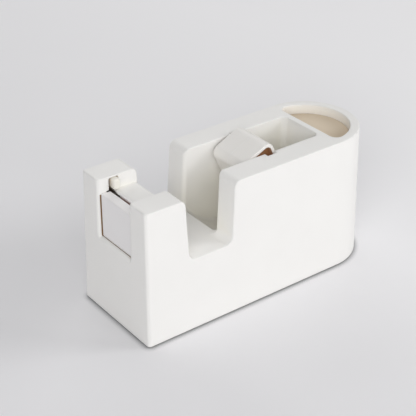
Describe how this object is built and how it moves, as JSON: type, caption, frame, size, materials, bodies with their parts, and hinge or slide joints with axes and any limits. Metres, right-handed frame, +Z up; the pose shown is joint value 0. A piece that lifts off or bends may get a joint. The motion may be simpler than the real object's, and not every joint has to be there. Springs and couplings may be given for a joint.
{
  "type": "desk tape dispenser",
  "caption": "Weighted desk tape dispenser with a sliding cutter, a drop-in hub on a loose axle and a D-shaped tray behind the tape well.",
  "frame": {"origin": "on the table, under the middle of the body's footprint", "axes": "+X from the cutter towards the rear tray, +Y across towards the side where the slider parks, +Z up"},
  "size_m": [0.142, 0.054, 0.0732],
  "materials": {
    "shell_white": "fine matte, slightly warm white",
    "base_grey": "matte",
    "ballast_iron": "raw casting",
    "liner_tan": "soft matte",
    "cutter_grey_white": "satin",
    "slider_black": "satin",
    "blade_steel": "ground edge",
    "knob_warm_white": "satin",
    "hub_white": "satin",
    "core_brown": "satin",
    "pin_steel": "turned",
    "screw_steel": "plated",
    "foot_rubber": "dull"
  },
  "bodies": {
    "body": {"body_shell": "shell_white", "base_plate": "base_grey", "ballast_block": "ballast_iron", "tray_liner": "liner_tan", "cutter_front_cover": "cutter_grey_white", "cutter_rear_rail": "cutter_grey_white", "base_screw_front_near": "screw_steel", "base_screw_front_far": "screw_steel", "base_screw_rear": "screw_steel", "foot_pad_front_near": "foot_rubber", "foot_pad_front_far": "foot_rubber", "foot_pad_rear_near": "foot_rubber", "foot_pad_rear_far": "foot_rubber", "cutter_screw": "screw_steel"},
    "slider": {"slider_carriage": "slider_black", "slider_blade": "blade_steel", "slider_knob": "knob_warm_white"},
    "axle": {"hub_axle": "pin_steel"},
    "hub": {"hub_core": "core_brown", "hub_sleeve_near": "hub_white", "hub_sleeve_far": "hub_white"}
  },
  "joints": [
    {"name": "cutter_slide", "type": "slide", "parent": "body", "child": "slider", "axis": [0, -1, 0], "range_m": [0, 0.0226]},
    {"name": "hub_lift", "type": "slide", "parent": "body", "child": "axle", "axis": [0.36, 0, 0.933], "range_m": [0, 0.03]},
    {"name": "hub_spin", "type": "hinge", "parent": "axle", "child": "hub", "pos_m": [0.00641, 0, 0.0611], "axis": [0, 1, 0], "continuous": true}
  ]
}
